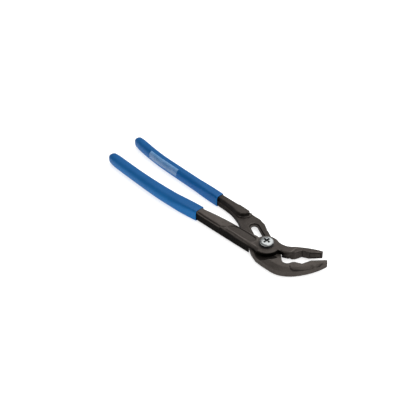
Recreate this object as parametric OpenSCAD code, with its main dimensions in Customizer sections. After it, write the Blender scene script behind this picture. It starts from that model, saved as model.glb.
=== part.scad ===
// Slip-joint pliers with a lap joint, about 257 mm long.
// Millimetres, +Z up. The origin is on the pivot bolt's axis, on the surface that the tool lies on.
// +X points from the pivot towards the jaws, and the handles run along -X.
// The upper arm lies over the lower arm at the joint, and its handle is on the near side, at -Y.

/* [Forging] */
// Height of the arms' undersides above the resting surface
arm_z = 1.2; // [1.1:0.05:1.3]
// Thickness of a forged arm at full section
arm_t = 10; // [9.8:0.1:10.2]
// Gap between the two arms' lap faces
lap_gap = 0.1; // [0.06:0.02:0.2]
// How much thinner the jaws are at their tips, on each side
jaw_taper = 1.6; // [1.2:0.1:2]
// Depth of the recessed panel in the upper arm
panel_depth = 0.7; // [0.4:0.1:1]

/* [Joint] */
// Radius of the boss round the pivot bolt
boss_r = 12.3; // [12:0.1:12.5]
// Radius of the bolt's shank
shank_r = 4; // [3.8:0.1:4.1]
// Radial running clearance of the shank in the boss
run_gap = 0.05; // [0.03:0.01:0.08]
// Half width of the adjusting slot at the lap face
slot_half = 5; // [4.9:0.1:5.2]
// Half width of the slot's narrow waist
waist_half = 3; // [2.9:0.1:3.1]
// Half width of the nut's track in the underside
track_half = 5.6; // [5.5:0.1:5.8]
// Pitch of the adjusting teeth
tooth_pitch = 2; // [1.8:0.1:2.2]

/* [Bolt] */
// Radius of the bolt's domed head
head_r = 6.35; // [6:0.05:6.6]
// Height of the bolt's head above its washer
head_h = 3.4; // [3:0.1:3.8]
// Thickness of the washer under the head
head_washer_t = 0.8; // [0.6:0.1:1]
// Radius of the threaded neck
neck_r = 2.4; // [2.3:0.05:2.5]
// Width of the lock nut across its flats
nut_flats = 9; // [8.6:0.1:9.2]

/* [Grips] */
// Thickness of the dipped coat above and below the steel
coat_t = 1.2; // [1.1:0.05:1.3]
// Thickness of the label on the lower arm's grip
label_t = 0.25; // [0.2:0.05:0.3]

/* [Hidden] */
$fn = 72;

steel = "#4b4440";
blue = "#1f66ad";

arm_top = arm_z + arm_t;
lap_z = arm_z + arm_t / 2;
// The slot's direction in plan, from the jaw end to the handle end
slot_angle = 155;
// Places along the slot, measured from the bolt: where the key stops at the jaw end,
// and the centre of the round handle end
slot_jaw_end = -6;
slot_handle_end = 30.6;
// Heights of the ledge that the key rides on and of the track's roof
ledge_z = lap_z - 1.7;
roof_z = arm_z + 2;
// Half length of the sliding key
key_half = 3;
// Play round the key and between stacked washers
play = 0.1;

// Points of an arc round c, from angle a0 to a1, in n steps
function arc(c, r, a0, a1, n) =
    [for (i = [0 : n]) c + r * [cos(a0 + (a1 - a0) * i / n), sin(a0 + (a1 - a0) * i / n)]];

// Points of a quadratic curve from a to b, pulled towards m, in n steps
function curve(a, m, b, n) =
    [for (i = [0 : n]) let (t = i / n) (1 - t) * (1 - t) * a + 2 * t * (1 - t) * m + t * t * b];

// A line of points without its first one, and one the other way round
function rest_of(points) = [for (i = [1 : len(points) - 1]) points[i]];
function backwards(points) = [for (i = [len(points) - 1 : -1 : 0]) points[i]];

// The points of a line from place first to place last
function part_of(points, first, last) = [for (i = [first : last]) points[i]];

// A point in the slot's own frame: t towards the handles, d towards the near side
function slot_at(t, d) =
    t * [cos(slot_angle), sin(slot_angle)] + d * [-sin(slot_angle), cos(slot_angle)];

// ---- Plan of the upper arm, anticlockwise ----
// Near and far sides of its handle, both from the butt end towards the joint
upper_near = [[-194, -19.2], [-180, -20.3], [-160, -20.9], [-140, -20.9], [-120, -20.4],
              [-103, -19.2], [-88, -17.4], [-76, -15.7], [-64, -15.1], [-46, -14.2],
              [-28, -13.4], [-14, -12.4]];
upper_far = [[-194, -12.2], [-180, -12.2], [-160, -12.5], [-140, -12.5], [-120, -12],
             [-103, -10.6], [-88, -8.8], [-76, -7.2], [-66, -5.3], [-58, -3.8], [-46, -2.1],
             [-30, -0.5], [-16, 1.3]];
boss_near = arc([0, 0], boss_r, -112, 6, 17);
boss_far = arc([0, 0], boss_r, 66, 171, 15);
upper_root = [[14.6, 2.6], [18, 3.6], [21.2, 5.8]];
// The jaw's gripping line, from its root to its tip, and its back, from the tip to the boss
upper_grip_line = [[22.8, 9.1], [24.9, 11.2], [27.3, 17.6], [33.2, 20.3], [41.6, 29.1]];
upper_back = [[40.1, 31], [35.2, 28.6], [30.2, 25.6], [25.4, 22.3], [20.5, 18.6], [16.9, 14.6],
              [13.8, 12.4], [9, 11.1]];
upper_outline = concat(upper_near, boss_near, upper_root, upper_grip_line, upper_back,
                       boss_far, backwards(upper_far));

// ---- Plan of the lower arm, anticlockwise ----
lower_near = [[-196, 17], [-181, 14.9], [-162, 13.2], [-140, 13], [-116, 13], [-90, 13],
              [-68, 12.9], [-58, 12.3], [-52, 10.8]];
lower_far = [[-196, 23], [-181, 20.8], [-162, 19.4], [-140, 19.4], [-116, 19.4], [-90, 20.1],
             [-68, 20.8], [-56, 21.4]];
plate_near = [slot_at(44, 11.4), slot_at(7, 13.6)];
plate_far = [slot_at(-13, -9.3), slot_at(22, -9.8), [-24, 23.1], [-29.5, 24.3], [-44, 23.7]];
lower_outer = [[-8, -12.3], [-4.6, -14], [2.8, -16.6], [8, -16.8], [13, -16.9]];
lower_back = curve([22, -16.5], [33.2, -15.2], [42.6, -1.2], 7);
lower_tip_back = curve([42.6, -1.2], [50.2, 10], [52.3, 23.3], 7);
lower_grip_line = [[50.3, 25.2], [41.4, 13.5], [39, 4.5], [33.3, 1.3], [31.8, -0.7]];
lower_root = concat(curve([31.8, -0.7], [30.6, -6.8], [26, -6.4], 5), [[24.2, -5.4]]);
lower_outline = concat(lower_near, plate_near, lower_outer, lower_back, rest_of(lower_tip_back),
                       lower_grip_line, rest_of(lower_root), [[21.5, -2.4]], plate_far,
                       backwards(lower_far));

// The rib along the lower handle, above the lap plane, set back from the near side
rib_inset = 1.3;
rib_near = concat([[-78, 13 + rib_inset]],
                  [for (p = lower_near) if (p.x > -78) p + [0, rib_inset]]);
rib_end = [[-46.2, 12.7], [-43.6, 15.2], [-41.3, 19.8], [-42.8, 21.5]];
rib_outline = concat(part_of(lower_near, 0, 4), [[-78.5, 13]], rib_near, rib_end,
                     backwards(lower_far));
// The foot of the rib's end, which spreads onto the plate
rib_foot = [[-52, 12], [-46, 11.2], [-42, 14.6], [-39.6, 19.4], [-41, 23.4], [-56, 21.4]];
// The lower jaw above the lap plane starts at a shoulder clear of the upper arm's boss
shoulder_c = [6, -3];
shoulder_r = 13.5;
lower_jaw_outline = concat(part_of(lower_outer, 3, 4), lower_back, rest_of(lower_tip_back),
                           lower_grip_line, rest_of(lower_root), [[21.5, -4.4]],
                           arc(shoulder_c, shoulder_r, -9, -73, 14));
// The groove along the lower jaw's outer side
lower_step = [[34.8, -6.4], [37.4, -4.4], [43.4, 3], [47.6, 9.4], [50, 16],
              [50.8, 23.4]];

// Extrudes a profile along the line a to b. The profile's x points to the line's left,
// and its y is the height.
module along(a, b, overlap, z) {
    run = norm(b - a);
    turn = atan2(b.y - a.y, b.x - a.x);
    translate([a.x, a.y, z])
        rotate([0, 0, turn])
            translate([-overlap, 0, 0])
                rotate([90, 0, 90])
                    linear_extrude(run + 2 * overlap)
                        children();
}

// Bevels the top corner along an open line of points, with the solid on its left
module bevel(points, inset, drop, z) {
    reach = 1.5;
    for (i = [0 : len(points) - 2])
        along(points[i], points[i + 1], 0.3, z)
            polygon([[-reach, -drop - reach * drop / inset],
                     [inset + reach * inset / drop, reach],
                     [-reach, reach]]);
}

// Wedges that thin the jaws towards their tips, above and below
module jaw_wedges() {
    start = 20;
    reach = 36;
    slope = atan(jaw_taper / 32);
    for (side = [0, 1])
        translate([0, 0, lap_z])
            mirror([0, 0, side])
                rotate([0, 0, 50])
                    translate([start, 0, arm_t / 2])
                        rotate([0, slope, 0])
                            translate([0, -45, 0])
                                cube([reach, 90, 6]);
}

// The room that the lower arm's plate sweeps through under the upper arm
module lap_pocket() {
    translate([0, 0, arm_z - 1])
        linear_extrude(arm_t / 2 + 1 + lap_gap / 2) {
            circle(r = 15.2);
            polygon([slot_at(0, 15.3), slot_at(60, 16.8), slot_at(60, -30), slot_at(0, -15)]);
        }
    // the jaw's root, cut back below the lap plane
    translate([0, 0, arm_z - 1])
        linear_extrude(arm_t / 2 + 1)
            polygon([[12, 1], [13.8, 4.6], [15.6, 5.1], [20, 7.6], [20.8, 8.9], [22.8, 9.1], [24, 4]]);
}

// The long recessed panel, pointed at its handle end and round at its joint end
module panel() {
    translate([0, 0, arm_top - panel_depth])
        linear_extrude(panel_depth + 1)
            polygon(concat([[-41, -9.6], [-33, -9.8], [-23, -9.5], [-14, -8.6]],
                           arc([-12.9, -4.9], 3.6, -80, 80, 8),
                           [[-20, -1.4], [-30, -2], [-36.2, -3]]));
}

// Lowers the upper jaw's top beyond a curved step
module jaw_step() {
    translate([0, 0, arm_top - 0.9])
        linear_extrude(4)
            polygon(concat(curve([20.4, 2.6], [24.2, 7.4], [22.2, 12.4], 8),
                           curve([22.2, 12.6], [21.2, 15.4], [22, 20], 4),
                           [[22, 40], [60, 40], [60, 0]]));
}

// A groove along the handle's near bevel, and a gentler slope below the panel
module upper_near_slope() {
    groove = [[-76, -13.9], [-64, -13.4], [-50, -12.6]];
    for (i = [0, 1])
        along(groove[i], groove[i + 1], 0.1, arm_top)
            polygon([[-0.5, 0.1], [0, -0.5], [0.5, 0.1]]);
    slope_top = [[-47, -12.9], [-41, -11.8], [-33, -10.8], [-23, -10.3], [-13.5, -9.7], [-6.6, -9.4],
                 [-1.4, -9.9]];
    for (i = [0 : len(slope_top) - 2])
        along(slope_top[i], slope_top[i + 1], 0.2, arm_top)
            polygon([[-6, -6 * tan(25)], [0, 0], [0, 2], [-6, 2]]);
}

module upper_arm() {
    color(steel)
        difference() {
            translate([0, 0, arm_z])
                linear_extrude(arm_t)
                    polygon(upper_outline);
            lap_pocket();
            cylinder(h = 40, r = shank_r + run_gap, center = true);
            panel();
            jaw_step();
            jaw_wedges();
            bevel(part_of(upper_near, 7, 10), 1.6, 2.3, arm_top);
            bevel(concat(part_of(upper_near, 10, 11), part_of(boss_near, 0, 3)), 2, 2.3, arm_top);
            bevel(part_of(boss_near, 3, 17), 0.6, 0.8, arm_top);
            upper_near_slope();
            bevel(backwards(part_of(upper_far, 7, 12)), 0.8, 1.2, arm_top);
            bevel(upper_root, 1, 1.2, arm_top);
            bevel(concat(part_of(upper_back, 4, 7), boss_far), 1.7, 1.8, arm_top);
            bevel(part_of(upper_back, 0, 4), 1, 1.2, arm_top - 0.9);
        }
}

// The adjusting slot: wide at the lap face, with a waist, and a track for the nut underneath
module slot() {
    // half width, place of the jaw end, base and height of each layer
    layers = [[slot_half, slot_jaw_end - shank_r - 0.2, ledge_z, 4],
              [waist_half, slot_jaw_end - key_half - 0.2, arm_z - 1, 8],
              [track_half, slot_jaw_end - 5.6, arm_z - 1, roof_z - arm_z + 1]];
    rotate([0, 0, slot_angle]) {
        for (layer = layers)
            translate([0, 0, layer[2]])
                linear_extrude(layer[3]) {
                    translate([layer[1], -layer[0]])
                        square([slot_handle_end - layer[1], 2 * layer[0]]);
                    translate([slot_handle_end, 0])
                        circle(r = layer[0]);
                }
        // teeth along the near wall
        for (i = [-4 : 14])
            translate([i * tooth_pitch, slot_half - 0.01, ledge_z])
                linear_extrude(4)
                    polygon([[-0.8, 0], [0, 0.8], [0.8, 0]]);
    }
}

// The lower jaw's sloping top, with a groove along its outer side
module lower_jaw_facets() {
    // falls away from a line just behind the gripping face
    along([23, -13.5], [51.5, 24.3], 3, arm_top)
        polygon([[-24, -24 * tan(9)], [0, 0], [0, 3], [-24, 3]]);
    for (i = [0 : len(lower_step) - 2])
        along(lower_step[i], lower_step[i + 1], 0.2, 10.1)
            polygon([[0, 2], [0, -0.6], [-0.8, -0.9], [-3.4, -0.1], [-3.6, 2]]);
    bevel(concat(part_of(lower_outer, 2, 4), lower_back, part_of(lower_tip_back, 1, 5)),
          2.6, 3, arm_top - 1);
}

module lower_arm() {
    color(steel)
        difference() {
            union() {
                translate([0, 0, arm_z])
                    linear_extrude(arm_t / 2 - lap_gap / 2)
                        polygon(lower_outline);
                translate([0, 0, arm_z + 1])
                    linear_extrude(arm_t - 1) {
                        polygon(rib_outline);
                        polygon(lower_jaw_outline);
                    }
                translate([0, 0, arm_z + 1])
                    linear_extrude(arm_t / 2 + 0.4)
                        polygon(rib_foot);
            }
            slot();
            jaw_wedges();
            lower_jaw_facets();
            bevel(backwards(part_of(lower_far, 5, 7)), 0.8, 1.2, arm_top);
            bevel(concat(rib_near, part_of(rib_end, 0, 2)), 0.8, 1, arm_top);
            bevel(part_of(plate_far, 0, 3), 1.4, 1.2, lap_z - lap_gap / 2);
        }
}

// Domed chrome head with a cross recess, a round shank in the boss and a threaded neck
module pivot_bolt() {
    base = arm_top + head_washer_t;
    color("silver")
        difference() {
            union() {
                translate([0, 0, base])
                    rotate_extrude()
                        polygon(concat([[0, 0], [head_r - 0.3, 0], [head_r, 0.3], [head_r, 1.2]],
                                       arc([head_r - 2.2, 1.2], 2.2, 10, 90, 8),
                                       [[0, head_h]]));
                translate([0, 0, lap_z - play])
                    cylinder(h = base - lap_z + 0.5, r = shank_r);
                cylinder(h = lap_z, r = neck_r);
            }
            for (turn = [0, 90])
                rotate([0, 0, turn])
                    translate([-2.7, -0.6, base + head_h - 2])
                        cube([5.4, 1.2, 4]);
        }
}

// A flat ring
module ring(outer, inner, low, high) {
    translate([0, 0, low])
        difference() {
            cylinder(h = high - low, r = outer);
            translate([0, 0, -1])
                cylinder(h = high - low + 2, r = inner);
        }
}

module head_washer() {
    color("#222222")
        ring(head_r + 0.5, shank_r + 0.1, arm_top + 0.05, arm_top + head_washer_t);
}

// The key that slides in the slot: a flange on the ledge and a sleeve in the waist
module slide_key() {
    flange_half = slot_half - 0.25;
    sleeve_half = waist_half - 0.2;
    top = lap_z - play;
    color("#3a3836")
        rotate([0, 0, slot_angle])
            difference() {
                union() {
                    translate([-key_half, -flange_half, ledge_z + play])
                        cube([2 * key_half, 2 * flange_half, top - ledge_z - play]);
                    translate([-key_half, -sleeve_half, roof_z - play])
                        cube([2 * key_half, 2 * sleeve_half, 2]);
                }
                cylinder(h = 40, r = neck_r, center = true);
                for (i = [-1 : 1])
                    translate([i * tooth_pitch, flange_half + 0.01, 0])
                        linear_extrude(20)
                            polygon([[-0.8, 0], [0, -0.8], [0.8, 0]]);
            }
}

module track_washer() {
    color("#55524f")
        ring(5.2, neck_r, roof_z - 0.7, roof_z - play);
}

module lock_nut() {
    height = roof_z - 0.7;
    color("#55524f")
        rotate([0, 0, slot_angle])
            difference() {
                cylinder(h = height, r = nut_flats / sqrt(3), $fn = 6);
                translate([0, 0, -1])
                    cylinder(h = height + 2, r = neck_r);
            }
}

// Stations of the grips' outer shape: place along X, place along Y, width, thickness
upper_stations = [[-75.5, -11.4, 11.2, 12.4], [-88, -13.1, 12.2, 12.4], [-103, -15, 12.8, 12.4],
                  [-120, -16.2, 12.4, 12.2], [-140, -16.7, 11.4, 12], [-160, -16.7, 10.6, 11.8],
                  [-180, -16.2, 10.6, 11.8], [-195, -15.6, 10.4, 11.6], [-201.5, -15, 7, 8]];
lower_stations = [[-77, 16.4, 9.4, 12.4], [-91, 16.3, 9.8, 12.4], [-116, 16.2, 9.8, 12.4],
                  [-140, 16.2, 9.6, 12.2], [-162, 16.3, 9.4, 12], [-181, 17.9, 9.6, 11.8],
                  [-197, 20.1, 9.8, 11.6], [-204.5, 21.1, 6.6, 8]];

// A dipped coat's outer shape through its stations, grown by skin
module coat(stations, skin) {
    corner = 3.2;
    for (i = [0 : len(stations) - 2])
        hull()
            for (s = [stations[i], stations[i + 1]])
                translate([s[0], s[1], lap_z])
                    rotate([90, 0, 90])
                        linear_extrude(0.01)
                            offset(r = corner + skin, $fn = 24)
                                square([s[2] - 2 * corner, s[3] - 2 * corner], center = true);
}

// The steel inside a coat
module core(outline) {
    translate([0, 0, arm_z])
        linear_extrude(arm_t)
            polygon(outline);
}

module upper_grip() {
    color(blue)
        difference() {
            coat(upper_stations, 0);
            core(upper_outline);
        }
}

module lower_grip() {
    color(blue)
        difference() {
            coat(lower_stations, 0);
            core(concat(part_of(lower_near, 0, 6), backwards(part_of(lower_far, 0, 6))));
        }
}

// A thin blank label wrapped over the near shoulder of the lower arm's grip
module grip_label() {
    color("#9db4c4")
        difference() {
            intersection() {
                coat(lower_stations, label_t);
                translate([-174, 8, lap_z - 1])
                    cube([41, 9, 8]);
            }
            coat(lower_stations, 0);
        }
}

upper_arm();
lower_arm();
pivot_bolt();
head_washer();
slide_key();
track_washer();
lock_nut();
upper_grip();
lower_grip();
grip_label();
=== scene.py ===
"""Slip-joint pliers lying on a pale studio floor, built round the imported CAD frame."""

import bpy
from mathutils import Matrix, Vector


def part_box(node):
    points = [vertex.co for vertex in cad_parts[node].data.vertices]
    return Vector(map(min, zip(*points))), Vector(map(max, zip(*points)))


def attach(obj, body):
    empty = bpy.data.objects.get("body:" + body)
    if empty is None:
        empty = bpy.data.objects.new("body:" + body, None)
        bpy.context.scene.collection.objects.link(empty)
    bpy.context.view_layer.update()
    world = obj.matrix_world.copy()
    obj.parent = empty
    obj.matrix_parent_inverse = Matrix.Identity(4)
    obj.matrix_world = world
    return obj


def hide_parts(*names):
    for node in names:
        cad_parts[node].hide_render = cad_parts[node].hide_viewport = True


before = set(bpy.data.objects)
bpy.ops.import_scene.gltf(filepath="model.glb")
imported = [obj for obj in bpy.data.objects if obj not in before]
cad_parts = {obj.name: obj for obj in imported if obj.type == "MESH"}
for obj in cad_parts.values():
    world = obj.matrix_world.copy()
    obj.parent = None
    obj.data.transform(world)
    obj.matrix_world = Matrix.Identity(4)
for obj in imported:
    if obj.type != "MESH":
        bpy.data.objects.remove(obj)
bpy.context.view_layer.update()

import math
from typing import NamedTuple

import bmesh
import bpy
import numpy as np
from mathutils import Vector

MM = 0.001
# the plane where the two arms lie on each other, and the slot's angle from +X
LAP_Z = 6.2 * MM
SLOT_ANGLE = math.radians(155)


# ---------------------------------------------------------------- mesh helpers

def new_object(name, vertices, faces):
    """A mesh object from lists of points and faces, with its normals turned outwards."""
    mesh = bpy.data.meshes.new(name)
    mesh.from_pydata([tuple(v) for v in vertices], [], faces)
    work = bmesh.new()
    work.from_mesh(mesh)
    bmesh.ops.recalc_face_normals(work, faces=work.faces)
    work.to_mesh(mesh)
    work.free()
    piece = bpy.data.objects.new(name, mesh)
    bpy.context.scene.collection.objects.link(piece)
    shade_smooth(mesh)
    return piece


def shade_smooth(mesh):
    mesh.polygons.foreach_set("use_smooth", np.ones(len(mesh.polygons), bool))


def copy_of(node, name):
    """A welded copy of a CAD node's mesh, with no material."""
    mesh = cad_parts[node].data.copy()
    mesh.name = name
    mesh.materials.clear()
    work = bmesh.new()
    work.from_mesh(mesh)
    bmesh.ops.remove_doubles(work, verts=work.verts, dist=1e-6)
    work.to_mesh(mesh)
    work.free()
    piece = bpy.data.objects.new(name, mesh)
    bpy.context.scene.collection.objects.link(piece)
    return piece


def apply_modifiers(piece):
    graph = bpy.context.evaluated_depsgraph_get()
    mesh = bpy.data.meshes.new_from_object(piece.evaluated_get(graph))
    piece.modifiers.clear()
    piece.data = mesh


def coordinates(mesh):
    co = np.zeros(len(mesh.vertices) * 3)
    mesh.vertices.foreach_get("co", co)
    return co.reshape(-1, 3)


def set_coordinates(mesh, co):
    mesh.vertices.foreach_set("co", co.ravel())
    mesh.update()


def normals_of(mesh):
    no = np.zeros(len(mesh.vertices) * 3)
    mesh.vertices.foreach_get("normal", no)
    return no.reshape(-1, 3)


def edges_of(mesh):
    pairs = np.zeros(len(mesh.edges) * 2, int)
    mesh.edges.foreach_get("vertices", pairs)
    return pairs.reshape(-1, 2)


def neighbour_mean(values, pairs):
    """Each vertex's mean of its neighbours' values."""
    count = len(values)
    degree = np.bincount(pairs.ravel(), minlength=count).clip(1)
    out = np.empty_like(values)
    for k in range(values.shape[1]):
        column = values[:, k]
        total = np.bincount(pairs[:, 0], column[pairs[:, 1]], count)
        total += np.bincount(pairs[:, 1], column[pairs[:, 0]], count)
        out[:, k] = total / degree
    return out


def smoothed(co, pairs, rounds, weight=0.5):
    """Laplacian smoothing, with a weight for each vertex or for all."""
    for _ in range(rounds):
        co = co + (neighbour_mean(co, pairs) - co) * weight
    return co


def ramp(value, low, high):
    """0 below low, 1 above high and a smooth step between them."""
    t = np.clip((value - low) / (high - low), 0, 1)
    return t * t * (3 - 2 * t)


def stroke(places, line, width, fade):
    """How close places are to an open line: 1 on it, falling off over its width and its ends."""
    best = np.full(len(places), 1e9)
    along = np.zeros(len(places))
    run = 0.0
    line = np.asarray(line, float)
    for a, b in zip(line[:-1], line[1:]):
        step = b - a
        length = np.linalg.norm(step)
        t = np.clip(((places - a) @ step) / length**2, 0, 1)
        distance = np.linalg.norm(places - a - t[:, None] * step, axis=1)
        closer = distance < best
        best[closer] = distance[closer]
        along[closer] = run + t[closer] * length
        run += length
    near = np.exp(-(best / width) ** 2)
    start, end = (max(length, 0.01) for length in fade)
    return near * ramp(along, 0, start) * (1 - ramp(along, run - end, run))


# ---------------------------------------------------------------- materials

class Nodes:
    """A short way to build a material's nodes."""

    def __init__(self, name):
        self.material = bpy.data.materials.new(name)
        self.material.use_nodes = True
        self.tree = self.material.node_tree
        self.shader = self.tree.nodes["Principled BSDF"]
        self.place = self.add("ShaderNodeTexCoord").outputs["Object"]

    def add(self, kind, **settings):
        node = self.tree.nodes.new(kind)
        for key, value in settings.items():
            setattr(node, key, value)
        return node

    def link(self, source, target):
        self.tree.links.new(source, target)

    def noise(self, scale, detail=3.0, rough=0.55, stretch=None):
        node = self.add("ShaderNodeTexNoise")
        node.inputs["Scale"].default_value = scale
        node.inputs["Detail"].default_value = detail
        node.inputs["Roughness"].default_value = rough
        if stretch:
            mapping = self.add("ShaderNodeMapping")
            mapping.inputs["Scale"].default_value = stretch
            self.link(self.place, mapping.inputs["Vector"])
            self.link(mapping.outputs[0], node.inputs["Vector"])
        else:
            self.link(self.place, node.inputs["Vector"])
        return node.outputs["Fac"]

    def span(self, source, low, high, to_low=0.0, to_high=1.0):
        node = self.add("ShaderNodeMapRange")
        for key, value in (("From Min", low), ("From Max", high),
                           ("To Min", to_low), ("To Max", to_high)):
            node.inputs[key].default_value = value
        self.link(source, node.inputs["Value"])
        return node.outputs["Result"]

    def math(self, operation, a, b):
        node = self.add("ShaderNodeMath", operation=operation)
        for socket, value in zip(node.inputs, (a, b)):
            if isinstance(value, (int, float)):
                socket.default_value = value
            else:
                self.link(value, socket)
        return node.outputs[0]

    def mix(self, factor, a, b):
        node = self.add("ShaderNodeMix", data_type="RGBA", blend_type="MIX")
        for socket, value in zip((node.inputs[0], node.inputs[6], node.inputs[7]), (factor, a, b)):
            if isinstance(value, (int, float)):
                socket.default_value = value
            elif isinstance(value, tuple):
                socket.default_value = (*value, 1)
            else:
                self.link(value, socket)
        return node.outputs[2]

    def channel(self, attribute):
        node = self.add("ShaderNodeAttribute", attribute_name=attribute)
        split = self.add("ShaderNodeSeparateColor")
        self.link(node.outputs["Color"], split.inputs[0])
        return split.outputs

    def bump(self, height, distance, strength=1.0, after=None):
        node = self.add("ShaderNodeBump")
        node.inputs["Strength"].default_value = strength
        node.inputs["Distance"].default_value = distance
        self.link(height, node.inputs["Height"])
        if after is not None:
            self.link(after, node.inputs["Normal"])
        return node.outputs[0]

    def set(self, **values):
        for key, value in values.items():
            socket = self.shader.inputs[key.replace("_", " ")]
            if isinstance(value, (int, float)):
                socket.default_value = value
            elif isinstance(value, tuple):
                socket.default_value = (*value, 1)
            else:
                self.link(value, socket)
        return self.material


def forged_steel():
    """Phosphated forging: brown-grey where it was ground, nearly black on its sides as they left
    the forge, darkened there further by painted shade; painted shade in creases and hollows, and
    painted highlights on rubbed edges.
    """
    n = Nodes("phosphated_steel")
    edge_rub_and_highlight, crease_shade, side = n.channel("forging")
    broad = n.noise(95, 4, 0.6)
    grain = n.noise(1500, 5, 0.65)
    fine = n.noise(5200, 2, 0.5)
    ground = n.noise(600, 3, 0.6, stretch=(0.12, 1.0, 1.0))
    top = n.mix(n.span(broad, 0.35, 0.68), (0.066, 0.057, 0.051), (0.092, 0.080, 0.072))
    top = n.mix(n.span(ground, 0.4, 0.75, 0, 0.35), top, (0.1, 0.088, 0.08))
    # the near-black of the sides: partly their black finish, partly painted shade
    side_black = n.mix(n.span(broad, 0.35, 0.7), (0.0035, 0.003, 0.0027), (0.007, 0.006, 0.005))
    top = n.mix(n.span(grain, 0.42, 0.7, 0, 0.4), top, (0.02, 0.016, 0.0135))
    base = n.mix(side, top, side_black)
    # painted shade, near black, in creases, in the shaded hollows and along the marks' dark lines
    base = n.mix(n.math("MULTIPLY", crease_shade, 0.85), base, (0.003, 0.0025, 0.0022))
    # lighter where edges are rubbed bare in patches, with painted highlights on convex edges and
    # along the marks' bright lines
    patch = n.span(n.noise(240, 4, 0.7), 0.38, 0.62)
    edge = n.math("MULTIPLY", edge_rub_and_highlight, n.span(patch, 0, 1, 0.35, 0.75))
    base = n.mix(edge, base, (0.16, 0.142, 0.13))
    rough = n.span(grain, 0.3, 0.75, 0.42, 0.6)
    rough = n.math("SUBTRACT", rough, n.math("MULTIPLY", edge_rub_and_highlight, 0.08))
    coarse = n.bump(broad, 0.00012, 0.5)
    pits = n.bump(grain, 0.00004, 0.7, coarse)
    metal = n.span(side, 0, 1, 0.15, 0.6)
    return n.set(Base_Color=base, Roughness=rough, Metallic=metal, Specular_IOR_Level=0.12,
                 Specular_Tint=(0.35, 0.33, 0.32), Normal=n.bump(fine, 0.000015, 0.8, pits))


def chrome_plating():
    n = Nodes("bright_plating")
    cloud = n.noise(420, 4, 0.6)
    hair = n.noise(2600, 2, 0.5, stretch=(1, 0.25, 1))
    recess = n.channel("recess")[0]
    base = n.mix(n.span(cloud, 0.35, 0.7), (0.22, 0.23, 0.23), (0.32, 0.33, 0.33))
    # painted shade in the cross recess, near black
    base = n.mix(recess, base, (0.012, 0.012, 0.013))
    rough = n.math("ADD", n.span(cloud, 0.3, 0.75, 0.16, 0.3), n.span(hair, 0.5, 0.8, 0, 0.05))
    return n.set(Base_Color=base, Roughness=rough, Metallic=1.0,
                 Normal=n.bump(hair, 0.000004, 0.5))


def blackened_steel():
    n = Nodes("blackened_steel")
    cloud = n.noise(700, 4, 0.6)
    base = n.mix(n.span(cloud, 0.4, 0.7), (0.012, 0.012, 0.013), (0.035, 0.033, 0.032))
    return n.set(Base_Color=base, Roughness=n.span(cloud, 0.3, 0.7, 0.3, 0.5), Metallic=0.6,
                 Normal=n.bump(n.noise(3000), 0.00001, 0.6))


def plain_steel():
    n = Nodes("plain_steel")
    cloud = n.noise(500, 4, 0.6)
    base = n.mix(n.span(cloud, 0.4, 0.7), (0.26, 0.25, 0.24), (0.42, 0.41, 0.39))
    return n.set(Base_Color=base, Roughness=n.span(cloud, 0.3, 0.7, 0.28, 0.45), Metallic=1.0,
                 Normal=n.bump(n.noise(2400, 3, 0.6, stretch=(1, 0.2, 1)), 0.00001, 0.6))


def dipped_vinyl():
    """Glossy vinyl with the slight waviness and dust specks of a dipped coat."""
    n = Nodes("dipped_vinyl")
    tone = n.noise(38, 3, 0.5)
    speck = n.noise(2600, 3, 0.6)
    facing = n.add("ShaderNodeSeparateXYZ")
    n.link(n.add("ShaderNodeNewGeometry").outputs["Normal"], facing.inputs[0])
    # the pale paper's light soaks into the coat's lower sides
    soaked = n.span(facing.outputs["Z"], 0.9, 0.0)
    over = n.mix(n.span(tone, 0.3, 0.7), (0.006, 0.069, 0.205), (0.0085, 0.084, 0.24))
    under = n.mix(n.span(tone, 0.3, 0.7), (0.004, 0.125, 0.37), (0.006, 0.148, 0.42))
    base = n.mix(soaked, over, under)
    base = n.mix(n.span(speck, 0.62, 0.78, 0, 0.22), base, (0.03, 0.14, 0.34))
    rough = n.math("ADD", n.span(tone, 0.3, 0.7, 0.26, 0.34), n.span(speck, 0.5, 0.8, 0, 0.08))
    wave = n.bump(n.noise(70, 2, 0.4, stretch=(0.4, 1, 1)), 0.0005, 0.25)
    return n.set(Base_Color=base, Roughness=rough, Specular_IOR_Level=0.1,
                 Normal=n.bump(speck, 0.00001, 0.5, wave))


def label_film():
    """A thin whitish film with a generic pattern of small dots."""
    n = Nodes("label_film")
    dots = n.add("ShaderNodeTexVoronoi", feature="F1")
    dots.inputs["Scale"].default_value = 620
    n.link(n.place, dots.inputs["Vector"])
    ink = n.span(dots.outputs["Distance"], 0.28, 0.42, 1, 0)
    patch = n.span(n.noise(420, 3, 0.6), 0.42, 0.6)
    film = n.mix(n.span(n.noise(160), 0.35, 0.7), (0.10, 0.24, 0.44), (0.17, 0.31, 0.52))
    base = n.mix(n.math("MULTIPLY", n.math("MULTIPLY", ink, patch), 0.55), film,
                 (0.04, 0.13, 0.32))
    return n.set(Base_Color=base, Roughness=n.span(n.noise(900), 0.3, 0.7, 0.25, 0.4),
                 Normal=n.bump(n.noise(500, 3, 0.5), 0.00002, 0.4))


MATERIALS = {
    "forged_steel": forged_steel(),
    "bright_steel": chrome_plating(),
    "black_steel": blackened_steel(),
    "plain_steel": plain_steel(),
    "dipped_grip": dipped_vinyl(),
    "label_film": label_film(),
}


def place(piece, body, slot, *nodes):
    """Gives a finished piece its material and its body, and hides the CAD nodes that it stands for.
    """
    piece.data.materials.clear()
    piece.data.materials.append(MATERIALS[slot])
    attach(piece, body)
    if nodes:
        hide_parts(*nodes)
    return piece


# ---------------------------------------------------------------- forged arms

VOXEL = 0.27 * MM
# rounds of smoothing: over the whole skin, over its unheld edges, and where a groove melts away
SKIN_ROUNDS, EDGE_ROUNDS, MELT_ROUNDS = 2, 9, 90


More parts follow.
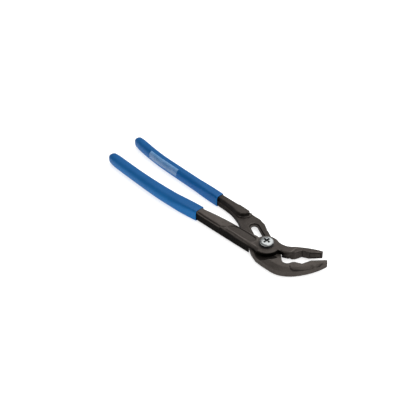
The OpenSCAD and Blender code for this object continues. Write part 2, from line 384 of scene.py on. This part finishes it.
def forging_colours(piece, pairs, tone, wear_and_highlight, dark):
    """Stores, for its material, where the forging is rubbed bare or carries painted highlights,
    where it carries painted shade, and how dark its surface is.
    """
    mesh = piece.data
    co, normal = coordinates(mesh), normals_of(mesh)
    bend = ((co - neighbour_mean(co, pairs)) * normal).sum(1) / MM
    bend = smoothed(bend[:, None], pairs, 2)[:, 0]
    side = smoothed((1 - ramp(normal[:, 2], 0.25, 0.6))[:, None], pairs, 2)[:, 0]
    top_tone, side_tone = tone(co / MM)
    values = np.ones((len(co), 4))
    # rubbed-bare edges and painted highlights: lighter on convex edges and along the marks' bright
    # lines
    values[:, 0] = np.maximum(ramp(bend, 0.008, 0.035), wear_and_highlight)
    # painted shade in concave creases, along the marks' dark lines and in the shaded hollows
    values[:, 1] = np.maximum(ramp(-bend, 0.006, 0.03), dark)
    # darker towards the sides by how steeply they face: partly the sides' black finish, partly
    # painted shade
    values[:, 2] = top_tone + (side_tone - top_tone) * side
    layer = mesh.color_attributes.new("forging", "FLOAT_COLOR", "POINT")
    layer.data.foreach_set("color", values.ravel())


def nowhere(co):
    return np.zeros(len(co))


def forge(node, name, body, marks, hold, tone, hollow, melt=nowhere, reach=nowhere):
    """Softens a CAD arm into a forging: remeshed, its edges rounded, its marks pressed in and
    painted with highlights and shade.

    hold, tone, hollow, melt and reach are functions of the points, in millimetres: how much an
    edge stays crisp, how dark the surface is (finish and painted shade), where it lies in painted
    shade, where it is smoothed away, and how far it is carried along X.
    """
    piece = copy_of(node, name)
    remesh = piece.modifiers.new("voxels", "REMESH")
    remesh.mode = "VOXEL"
    remesh.voxel_size = VOXEL
    remesh.adaptivity = 0
    apply_modifiers(piece)
    mesh = piece.data
    pairs = edges_of(mesh)
    co = coordinates(mesh)
    held = hold(co / MM)
    co = smoothed(co, pairs, SKIN_ROUNDS, np.where(held < 1, 0.5, 0)[:, None])
    co = smoothed(co, pairs, EDGE_ROUNDS, 0.5 * (1 - held)[:, None])
    co = smoothed(co, pairs, MELT_ROUNDS, 0.6 * melt(co / MM)[:, None])
    co[:, 0] += reach(co / MM) * MM
    set_coordinates(mesh, co)
    normal = normals_of(mesh)
    # painted highlights and painted shade, gathered from the hollows and the marks
    wear_and_highlight, dark = np.zeros(len(co)), hollow(co / MM)
    upper_face = ramp(normal[:, 2], 0.3, 0.6) * ramp(co[:, 2], LAP_Z - 0.4 * MM, LAP_Z)
    for mark in marks:
        if len(mark.line[0]) == 2:
            # a mark given in plan is pressed into the upper face
            near = stroke(co[:, :2] / MM, mark.line, mark.width, mark.fade) * upper_face
            co[:, 2] -= mark.depth * MM * near
        else:
            near = stroke(co / MM, mark.line, mark.width, mark.fade)
            co -= mark.depth * MM * near[:, None] * normal
        wear_and_highlight = np.maximum(wear_and_highlight, mark.wear_and_highlight * near)
        dark = np.maximum(dark, mark.dark * near)
    set_coordinates(mesh, smoothed(co, pairs, 1, 0.3))
    shade_smooth(mesh)
    forging_colours(piece, pairs, tone, wear_and_highlight, dark)
    return place(piece, body, "forged_steel", node)


class Mark(NamedTuple):
    """A line on a forging: its width and depth, how much rubbed-bare edge and painted highlight it
    carries, and how much painted shade, 0 to 1.
    """
    line: list
    width: float
    depth: float = 0.0
    wear_and_highlight: float = 0.0
    dark: float = 0.0
    fade: tuple = (1.0, 1.0)


UPPER_MARKS = [
    # the groove along the handle in painted shade, and the band's edge below it as a painted
    # highlight
    Mark([(-75, -14.2), (-65.4, -14), (-57.8, -13.6), (-50.2, -13.2), (-43.9, -13)],
         0.55, 0.45, dark=1.0, fade=(0.5, 3)),
    Mark([(-75, -15.1), (-64, -14.7), (-52.3, -14), (-44.4, -13.1), (-34.5, -12.7), (-22.4, -12),
          (-11, -11.4)], 0.5, 0, wear_and_highlight=0.5, fade=(1, 4)),
    # the short step where the groove ends, in painted shade
    Mark([(-45.4, -13.4), (-44, -12), (-41, -9)], 0.6, 0.25, dark=0.7, fade=(1, 2)),
    # the ridge below the panel, with a painted highlight
    Mark([(-43, -12.2), (-33.2, -10.7), (-23.3, -10.3), (-13.8, -9.6), (-6.6, -9.2), (-1.4, -9.5)],
         0.5, -0.2, wear_and_highlight=0.75, fade=(2, 4)),
    # the panel's pointed start and far side in painted shade, and its rounded end and the strip
    # beyond it as painted highlights
    Mark([(-41.5, -9.4), (-40, -7), (-36.4, -3)], 0.55, 0.2, dark=0.8, fade=(1, 1)),
    Mark([(-36.4, -3), (-31.8, -1.9), (-24.7, -1.3), (-17.3, -1), (-11.6, -1.2)],
         0.6, 0.3, dark=1.0, fade=(0.5, 1)),
    Mark([(-11.4, -1), (-9.9, -2.2), (-9.4, -4), (-10.4, -6.4), (-13, -8.3)], 0.45, -0.1, wear_and_highlight=0.5),
    Mark([(-36.8, -1.6), (-29.9, -0.6), (-22.3, 0.1), (-12, 0.5)], 0.4, 0, wear_and_highlight=0.35),
    # the curved step across the jaw: a painted highlight along it and painted shade beside it
    Mark([(18.6, 3.4), (20.8, 4.2), (22, 6), (22.4, 8.2), (21.9, 12.5), (21.7, 15.3), (22, 18.6)],
         0.55, -0.15, wear_and_highlight=0.65, fade=(1, 0.5)),
    Mark([(23.2, 6.2), (23.8, 8.6), (23.2, 12.5), (22.9, 15.3)], 0.7, 0.1, dark=0.5),
    # the outline of the pad at the gripping face's tip, in painted shade
    Mark([(33.6, 20.7, 3.7), (33.4, 20.5, 8.6), (40.1, 27.5, 8.9), (40.5, 28, 4.1),
          (33.6, 20.7, 3.7)], 0.45, 0.3, dark=0.85, fade=(0, 0)),
    # the ridges of the jaw's throat: one in painted shade, one with a painted highlight
    Mark([(27.5, 17.7, 2.5), (27.3, 17.6, 9.8)], 0.5, 0.2, dark=0.8),
    Mark([(24.9, 11.2, 2.5), (24.9, 11.2, 9.8)], 0.5, 0, wear_and_highlight=0.35),
]

LOWER_MARKS = [
    # the step along the jaw, with its hooked start, in painted shade
    Mark([(33.1, -5.2), (34.6, -6.2), (36.2, -6.5), (38, -5.8), (42.3, -0.9), (45, 2.4),
          (47.3, 6.2), (48.8, 9.6), (49.8, 13), (50.4, 17), (50.8, 21)], 0.65, 0.4, dark=0.95,
         fade=(0.4, 5)),
    # a second, fainter line in painted shade and the painted highlight of the bright band outside
    # it
    Mark([(31.4, -15.6), (36.5, -12), (40.4, -6), (44.3, 0)], 0.6, 0.3, dark=0.7, fade=(3, 3)),
    Mark([(31, -16.6), (37, -13.2), (41.6, -7.4), (45.6, -0.8), (48.6, 6)],
         0.6, 0, wear_and_highlight=0.35, fade=(3, 3)),
    # a painted highlight on the plate's near edge, where it comes out from under the other arm
    Mark([(-12, -9.5, 3.4), (-8, -12.3, 3.4), (-4.6, -14, 3.4), (0, -15.6, 3.4)],
         2.4, 0, wear_and_highlight=1.0, fade=(0.1, 4)),
    # painted shade along the rib's end and the fillet at its foot
    Mark([(-45.8, 12.4), (-43, 15.4), (-40.8, 20)], 0.7, 0.1, dark=0.9),
]


def upper_hold(co):
    """Keeps machined edges crisp: the gripping faces, the panel, the lap face and its thin end."""
    x, y, z = co.T
    grip = ramp(x, 22, 25)
    lap = 1 - ramp(z, LAP_Z / MM + 0.5, LAP_Z / MM + 1.2)
    top = ramp(z, 9.6, 10.2) * ramp(x, -46, -42) * (1 - ramp(x, -8, -4))
    thin_end = (z < LAP_Z / MM) * (x > -20) * (x < -4) * (y < -8)
    soft = np.clip(0.75 * grip + 0.75 * lap * (x > -60) + 0.6 * top, 0, 0.8)
    return np.maximum(soft, thin_end)


def lower_hold(co):
    """Keeps the gripping faces, the slot and the rib's end crisp."""
    x, y, z = co.T
    grip = ramp(x, 24, 28)
    slot = (x > -44) * (x < 12) * (z < LAP_Z / MM + 0.3)
    rib = 0.55 * ramp(x, -62, -55) * (1 - ramp(x, -38, -36)) * ramp(y, 6, 9)
    return np.clip(0.6 * grip + 0.7 * slot + rib, 0, 0.8)


def upper_tone(co):
    """How dark the upper arm is, on top and on its sides: 0 is bare ground steel, 1 is black;
    partly its black finish and partly painted shade.
    """
    x, y = co[:, 0], co[:, 1]
    panel = ramp(x, -42, -37) * (1 - ramp(x, -11, -9.6))
    panel = panel * ramp(y, -10.4, -9.6) * (1 - ramp(y, -1.8, -1))
    slope = ramp(x, -48, -42) * (1 - ramp(x, -4, 4)) * (1 - ramp(y, -11.2, -10.2))
    boss = 0.3 * ramp(x, -12, -4) + 0.12 * ramp(x, 24, 34)
    top = np.maximum.reduce([0.42 * panel, 0.5 * slope, boss])
    return top, 1 - 0.6 * ramp(x, 14, 24)


def lower_tone(co):
    """How dark the lower arm is, on top and on its sides: partly its black finish and partly
    painted shade.
    """
    x = co[:, 0]
    return 0.46 - 0.3 * ramp(x, 0, 20), 0.8 - 0.65 * ramp(x, -8, 6)


def upper_hollow(co):
    """The boss's shaded side."""
    x, _, z = co.T
    wall = 1 - ramp(z, 8.4, 10)
    return wall * ramp(x, -6, 0) * (1 - ramp(x, 16, 20))


def lower_pocket_shade(co):
    """Painted shade in the deep clearance round the upper arm's boss."""
    x, y, z = co.T
    round_boss = np.hypot(x - 6, y + 3)
    pocket = (1 - ramp(round_boss, 12.6, 13.6)) * ramp(x, -7, -2) * (y < -2)
    return pocket * (z > 5)


def upper_reach(co):
    """Carries the handle's side on a little, to narrow the gap to the other arm's plate."""
    x, y, z = co.T
    side = (1 - ramp(y, -10.5, -8.5)) * (1 - ramp(z, LAP_Z / MM - 0.3, LAP_Z / MM))
    return 1.1 * ramp(x, -20, -11.5) * (1 - ramp(x, -5.5, -4.5)) * side


def lower_melt(co):
    """Lets the groove near the jaw's tip run out smoothly, clear of the gripping edge."""
    x, y, z = co.T
    inside = (x - 41.4) * 0.796 - (y - 13.5) * 0.605
    return ramp(x, 40, 43) * ramp(z, 7.6, 8.4) * ramp(inside, 1.0, 2.2)


forge("upper_arm", "upper_forging", "upper_side", UPPER_MARKS,
      upper_hold, upper_tone, upper_hollow, reach=upper_reach)
forge("lower_arm", "lower_forging", "lower_side", LOWER_MARKS,
      lower_hold, lower_tone, lower_pocket_shade, melt=lower_melt)


# ---------------------------------------------------------------- dipped grips

def section(node, x):
    """The box of a CAD node's cut at x: its middle and half sizes across and up."""
    work = bmesh.new()
    work.from_mesh(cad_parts[node].data)
    cut = bmesh.ops.bisect_plane(work, geom=work.verts[:] + work.edges[:] + work.faces[:],
                                 plane_co=(x, 0, 0), plane_no=(1, 0, 0))
    points = [v.co.copy() for v in cut["geom_cut"] if isinstance(v, bmesh.types.BMVert)]
    work.free()
    low = [min(p[k] for p in points) for k in (1, 2)]
    high = [max(p[k] for p in points) for k in (1, 2)]
    return [(low[0] + high[0]) / 2, (low[1] + high[1]) / 2,
            (high[0] - low[0]) / 2, (high[1] - low[1]) / 2]


def table_of(node, places):
    """A smooth function of x through a node's sections."""
    places = sorted(places)
    rows = np.array([section(node, x) for x in places])
    # the sections are joined at 400 places, and each is then averaged over 34 on either side
    fine = np.linspace(places[0], places[-1], 400)
    pad = 34
    columns = []
    for k in range(4):
        line = np.interp(fine, places, rows[:, k])
        # mirrored past its ends, so that the smoothing keeps them in place
        padded = np.concatenate([2 * line[0] - line[pad:0:-1], line,
                                 2 * line[-1] - line[-2:-pad - 2:-1]])
        window = np.hanning(2 * pad + 1)
        columns.append(np.convolve(padded, window / window.sum(), "valid"))
    return lambda x: np.array([np.interp(x, fine, c) for c in columns])


def ring_of(centre_y, centre_z, half_y, half_z, power, count):
    """Points of a rounded rectangle as a superellipse."""
    turn = np.linspace(0, 2 * math.pi, count, endpoint=False)
    c, s = np.cos(turn), np.sin(turn)
    return np.stack([centre_y + half_y * np.sign(c) * np.abs(c) ** (2 / power),
                     centre_z + half_z * np.sign(s) * np.abs(s) ** (2 / power)], 1)


def loft(name, rings):
    """A closed skin through rings of (x, points), with both ends drawn shut."""
    count = len(rings[0][1])
    vertices, faces = [], []
    for x, points in rings:
        vertices += [(px, y, z) for px, (y, z) in zip(np.broadcast_to(x, count), points)]
    for i in range(len(rings) - 1):
        a, b = i * count, (i + 1) * count
        faces += [(a + j, a + (j + 1) % count, b + (j + 1) % count, b + j) for j in range(count)]
    for first in (0, (len(rings) - 1) * count):
        centre = len(vertices)
        vertices.append(tuple(np.mean(vertices[first:first + count], 0)))
        faces += [(first + j, first + (j + 1) % count, centre) for j in range(count)]
    return new_object(name, vertices, faces)


GRIP_POINTS = 96
# how far the mouth's lip is round, and how long the butt's dome is
LIP, DOME = 0.6 * MM, 6.5 * MM


class Grip:
    """The outer shape of a dipped grip, from its mouth to its rounded butt."""

    def __init__(self, node, arm):
        low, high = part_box(node)
        self.butt, self.mouth = low.x, high.x
        # where the CAD is cut, closer together towards the rounded butt
        inside = [self.butt + d * MM for d in (0.4, 3, 7, 16, 28, 44, 62, 80, 95, 108)]
        self.outer = table_of(node, inside + [self.mouth - 0.3 * MM])
        core = [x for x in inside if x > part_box(arm)[0].x + 0.5 * MM]
        self.inner = table_of(arm, core + [self.mouth - 0.3 * MM])
        self.core_end = min(core)

    def power(self, x):
        """Squarer at the mouth, where the coat is thin over the steel's edges."""
        return 2.75 + 2.6 * float(ramp(x, self.mouth - 34 * MM, self.mouth - 2 * MM))

    def shape(self, x, skin=0.0):
        y, z, half_y, half_z = self.outer(x)
        # the coat is fuller than its CAD box where its section is rounder
        fuller = 1 + 0.045 * (1 - float(ramp(x, self.mouth - 30 * MM, self.mouth)))
        return ring_of(y, z, half_y * fuller + skin, half_z + skin, self.power(x), GRIP_POINTS)

    def rings(self):
        out = []
        # inner wall, from deep inside out to the lip
        edge = self.mouth - LIP
        for x in np.linspace(self.core_end, edge, 40):
            y, z, half_y, half_z = self.inner(x)
            out.append((x, ring_of(y, z, half_y + 0.03 * MM, half_z + 0.03 * MM, 9, GRIP_POINTS)))
        # rounded lip
        inner, outer = out[-1][1], self.shape(edge)
        for step in range(1, 8):
            turn = math.pi * step / 8
            share = (1 - math.cos(turn)) / 2
            out.append((edge + 0.55 * MM * math.sin(turn), inner + (outer - inner) * share))
        # outside, from the lip to the butt
        for x in np.linspace(edge, self.butt + DOME, 110):
            out.append((x, self.shape(x)))
        y, z, _, _ = self.outer(self.butt + DOME)
        y_end, z_end, _, _ = self.outer(self.butt + 0.4 * MM)
        rim = self.shape(self.butt + DOME)
        for turn in np.linspace(0, math.pi / 2, 22)[1:-1]:
            x = self.butt + DOME * (1 - math.sin(turn))
            shift = np.array([y_end - y, z_end - z]) * math.sin(turn)
            middle = np.array([y, z])
            out.append((x, middle + shift + (rim - middle) * math.cos(turn)))
        return out


GRIPS = {}
for grip_name, grip_node, arm_node, grip_body in (
        ("upper_dipped_grip", "upper_grip", "upper_arm", "upper_side"),
        ("lower_dipped_grip", "lower_grip", "lower_arm", "lower_side")):
    GRIPS[grip_node] = Grip(grip_node, arm_node)
    place(loft(grip_name, GRIPS[grip_node].rings()), grip_body, "dipped_grip", grip_node)


# ---------------------------------------------------------------- label

# the film's outer and inner skins above the grip, and its span round it in degrees
FILM_SKINS = (0.12 * MM, -0.1 * MM)
FILM_SPAN = (108, 192)


def film_patch():
    """A thin film that follows the lower grip, over the stretch of the CAD label."""
    low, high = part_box("grip_label")
    grip = GRIPS["lower_grip"]
    across, up = 90, 30
    vertices, faces = [], []
    for layer in FILM_SKINS:
        for i in range(across + 1):
            x = low.x + (high.x - low.x) * i / across
            rim = grip.shape(x, layer)
            turn = np.unwrap(np.arctan2(rim[:, 1] - rim[:, 1].mean(), rim[:, 0] - rim[:, 0].mean()))
            turn = np.degrees(turn - turn[0])
            want = np.linspace(*FILM_SPAN, up + 1)
            y = np.interp(want, turn, rim[:, 0])
            z = np.interp(want, turn, rim[:, 1])
            vertices += [(x, a, b) for a, b in zip(y, z)]
    row = up + 1
    size = (across + 1) * row
    for i in range(across):
        for j in range(up):
            a = i * row + j
            faces.append((a, a + row, a + row + 1, a + 1))
            faces.append((size + a, size + a + 1, size + a + row + 1, size + a + row))
    border = [i * row for i in range(across + 1)]
    border += [across * row + j for j in range(1, row)]
    border += [i * row + up for i in range(across - 1, -1, -1)]
    border += list(range(up - 1, 0, -1))
    for a, b in zip(border, border[1:] + border[:1]):
        faces.append((a, b, size + b, size + a))
    return new_object("grip_film", vertices, faces)


place(film_patch(), "lower_side", "label_film", "grip_label")


# ---------------------------------------------------------------- bolt and hardware

# the bolt in millimetres: the recess's depth, the crown's rise, the head's round shoulder, the
# undercut's inset, the radii of the shank and of the threaded neck, and the thread
RECESS, CROWN, SHOULDER, UNDERCUT = 1.9, 0.28, 1.75, 0.9
SHANK, NECK = 3.98, 2.4
THREAD_DEPTH, THREAD_PITCH = 0.09, 0.8


def cross_depth(x, y):
    """How deep the cross recess is at a point of the bolt's head, in millimetres."""
    depth = np.zeros_like(x)
    for u, v in ((x, y), (y, x)):
        wall = 0.75 + 0.06 * np.abs(u)
        across = 1 - ramp(np.abs(v), wall - 0.12, wall + 0.16)
        reach = 1 - ramp(np.abs(u), 3.0, 3.6)
        depth = np.maximum(depth, across * reach)
    return RECESS * depth


def bolt_head():
    """The domed head as a polar net with the cross recess pressed into it."""
    low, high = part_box("pivot_bolt")
    radius, top = (high.x - low.x) / 2 / MM, high.z / MM
    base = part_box("head_washer")[1].z / MM
    around = 288
    turn = np.linspace(0, 2 * math.pi, around, endpoint=False)
    # the crown's rings have no height of their own: it comes from the dome and the recess
    crown = np.concatenate([np.linspace(0.05, 3.7, 72), np.linspace(3.8, 4.2, 4)])
    profile = [(r, None) for r in crown]
    flat = radius - SHOULDER
    # rounded shoulder, and an undercut down to the washer
    for a in np.radians(np.linspace(8, 90, 24)):
        profile.append((flat + SHOULDER * math.sin(a), top - CROWN - SHOULDER * (1 - math.cos(a))))
    under = top - CROWN - SHOULDER - base
    for a in np.radians(np.linspace(0, 78, 14)[1:]):
        profile.append((radius - UNDERCUT * (1 - math.cos(a)), base + under * (1 - math.sin(a))))
    profile.append((radius - 1.0, base))
    profile.append((3.9, base))
    shank_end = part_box("slide_key")[1].z / MM + 0.02
    for z in np.linspace(base - 0.3, shank_end + 0.3, 6):
        profile.append((SHANK, z))
    profile += [(3.7, shank_end), (NECK, shank_end - 0.01)]
    # rounded thread crests down the neck
    for z in np.linspace(shank_end - 0.2, 0.3, 44):
        crest = NECK - THREAD_DEPTH + THREAD_DEPTH * math.cos(z * 2 * math.pi / THREAD_PITCH)
        profile.append((crest, z))
    profile += [(NECK - 0.25, 0.02), (0.3, 0.0)]
    vertices, faces = [(0, 0, (top - RECESS) * MM)], []
    shade = [0.0]
    for r, z in profile:
        x, y = r * np.cos(turn), r * np.sin(turn)
        if z is None:
            level = top - CROWN * (r / flat) ** 2 - cross_depth(x, y)
        else:
            level = np.full(around, z)
        vertices += [(a * MM, b * MM, c * MM) for a, b, c in zip(x, y, level)]
        # painted shade in the recess, heaviest at the ends of its wings
        sunk = ramp(cross_depth(x, y), 0.2, 1.2) if z is None else np.zeros(around)
        shade += list(sunk * (0.25 + 0.75 * ramp(r, 1.2, 2.0)))
    faces += [(0, 1 + j, 1 + (j + 1) % around) for j in range(around)]
    for i in range(len(profile) - 1):
        a, b = 1 + i * around, 1 + (i + 1) * around
        faces += [(a + j, b + j, b + (j + 1) % around, a + (j + 1) % around)
                  for j in range(around)]
    last = 1 + (len(profile) - 1) * around
    faces.append(tuple(last + j for j in range(around)))
    piece = new_object("cross_head_bolt", vertices, faces)
    layer = piece.data.color_attributes.new("recess", "FLOAT_COLOR", "POINT")
    layer.data.foreach_set("color", np.repeat(shade, 4))
    return piece


def revolved_faces(around, count):
    """Faces between the copies of a closed profile of count points, once round."""
    faces = []
    for j in range(around):
        a, b = j * count, (j + 1) % around * count
        faces += [(a + k, b + k, b + (k + 1) % count, a + (k + 1) % count) for k in range(count)]
    return faces


def turned_ring(name, node, bore, edge):
    """A washer with rounded edges, lathed inside its CAD node's box."""
    low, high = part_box(node)
    radius = (high.x - low.x) / 2
    middle = (high.x + low.x) / 2, (high.y + low.y) / 2
    corners = [(bore, low.z), (radius, low.z), (radius, high.z), (bore, high.z)]
    profile = []
    for k, (r, z) in enumerate(corners):
        start = math.radians((180, 270, 0, 90)[k])
        cr = r + (edge if k in (0, 3) else -edge)
        cz = z + (edge if k in (0, 1) else -edge)
        for a in np.linspace(start, start + math.pi / 2, 5):
            profile.append((cr + edge * math.cos(a), cz + edge * math.sin(a)))
    around = 120
    vertices = []
    for j in range(around):
        t = 2 * math.pi * j / around
        vertices += [(middle[0] + r * math.cos(t), middle[1] + r * math.sin(t), z)
                     for r, z in profile]
    return new_object(name, vertices, revolved_faces(around, len(profile)))


place(bolt_head(), "bolt", "bright_steel", "pivot_bolt")
place(turned_ring("head_washer_ring", "head_washer", bore=4.1 * MM, edge=0.12 * MM),
      "bolt", "black_steel", "head_washer")
place(turned_ring("track_washer_ring", "track_washer", bore=2.42 * MM, edge=0.1 * MM),
      "bolt", "plain_steel", "track_washer")


# the nut in millimetres: half its width across flats, the radius where its chamfers start and
# their slope, and the height that its profile is drawn for
HALF_FLATS, CHAMFER_START, CHAMFER_SLOPE, NUT_HEIGHT = 4.5, 4.35, 0.42, 2.5
# radius and height of its profile's points; ON_HEX stands for the hexagon's own radius
ON_HEX = 9
NUT_PROFILE = [(2.42, 0.35), (2.75, 0.0), (3.9, 0.0), (CHAMFER_START, 0.0), (ON_HEX, 0.62),
               (ON_HEX, 1.9), (CHAMFER_START, NUT_HEIGHT), (2.75, NUT_HEIGHT), (2.42, 2.15)]


def hex_nut():
    """The lock nut: six flats, chamfered corners and a countersunk thread."""
    low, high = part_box("lock_nut")
    around = 144
    height = (high.z - low.z) / MM
    vertices = []
    for j in range(around):
        t = 2 * math.pi * j / around
        wedge = (t - math.pi / 6) % (math.pi / 3) - math.pi / 6
        flat = HALF_FLATS / math.cos(wedge)
        chamfer = CHAMFER_SLOPE * (flat - CHAMFER_START)
        for r, z in NUT_PROFILE:
            z = z * height / NUT_HEIGHT
            if r == ON_HEX:
                r = flat
                z = min(max(z, chamfer), height - chamfer)
            vertices.append((r * MM * math.cos(t + SLOT_ANGLE), r * MM * math.sin(t + SLOT_ANGLE),
                             low.z + z * MM))
    faces = revolved_faces(around, len(NUT_PROFILE))
    nut = new_object("hex_lock_nut", vertices, faces)
    nut.data.set_sharp_from_angle(angle=math.radians(28))
    return nut


place(hex_nut(), "bolt", "plain_steel", "lock_nut")

# the slide key stays the CAD's own, with softened edges
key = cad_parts["slide_key"]
key.data.materials.clear()
key.data.materials.append(MATERIALS["black_steel"])
soft_edges = key.modifiers.new("soft_edges", "BEVEL")
soft_edges.width = 0.12 * MM
soft_edges.segments = 2
soft_edges.limit_method = "ANGLE"


# ---------------------------------------------------------------- studio

def studio():
    """A round paper floor, a pale room and two soft boxes, behind the tool and past its jaws."""
    reach, rings, around = 4.0, 24, 64
    vertices = [(0, 0, 0)]
    faces = []
    for i in range(1, rings + 1):
        r = reach * (i / rings) ** 1.5
        for j in range(around):
            t = 2 * math.pi * j / around
            vertices.append((r * math.cos(t), r * math.sin(t), 0))
    faces += [(0, 1 + j, 1 + (j + 1) % around) for j in range(around)]
    for i in range(rings - 1):
        a, b = 1 + i * around, 1 + (i + 1) * around
        faces += [(a + j, b + j, b + (j + 1) % around, a + (j + 1) % around)
                  for j in range(around)]
    floor = new_object("studio_floor", vertices, faces)
    n = Nodes("studio_paper")
    n.set(Base_Color=(0.5, 0.5, 0.5), Roughness=0.9, Specular_IOR_Level=0.1,
          Emission_Color=(1.0, 1.0, 1.0), Emission_Strength=0.72)
    floor.data.materials.append(n.material)

    world = bpy.data.worlds.new("studio_room")
    world.use_nodes = True
    background = world.node_tree.nodes["Background"]
    background.inputs["Color"].default_value = (1, 1, 1, 1)
    background.inputs["Strength"].default_value = 0.42
    bpy.context.scene.world = world

    middle = Vector((-0.08, 0, 0))
    for name, spot, size, power in (("back_box", (0.0, 0.9, 1.5), 2.6, 50),
                                    ("jaw_box", (1.35, 0.05, 0.8), 1.9, 11)):
        light = bpy.data.lights.new(name, "AREA")
        light.shape = "SQUARE"
        light.size = size
        light.energy = power
        lamp = bpy.data.objects.new(name, light)
        lamp.location = spot
        lamp.rotation_mode = "QUATERNION"
        lamp.rotation_quaternion = (middle - Vector(spot)).to_track_quat("-Z", "Y")
        bpy.context.scene.collection.objects.link(lamp)


def photo_camera():
    """The photograph's camera, fitted to the tool's outlines."""
    azimuth, elevation, distance = math.radians(46.64), math.radians(40), 1.0
    target = Vector((-0.07652, 0.00029, 0.006))
    back = Vector((math.sin(azimuth) * math.cos(elevation),
                   -math.cos(azimuth) * math.cos(elevation), math.sin(elevation)))
    data = bpy.data.cameras.new("photo_view")
    data.lens = 92.34
    data.sensor_width = 36
    data.clip_start = 0.05
    camera = bpy.data.objects.new("photo_view", data)
    camera.location = target + back * distance
    camera.rotation_mode = "QUATERNION"
    camera.rotation_quaternion = (-back).to_track_quat("-Z", "Y")
    bpy.context.scene.collection.objects.link(camera)
    bpy.context.scene.camera = camera


studio()
photo_camera()
bpy.context.scene.view_settings.view_transform = "Standard"
bpy.context.scene.view_settings.look = "None"
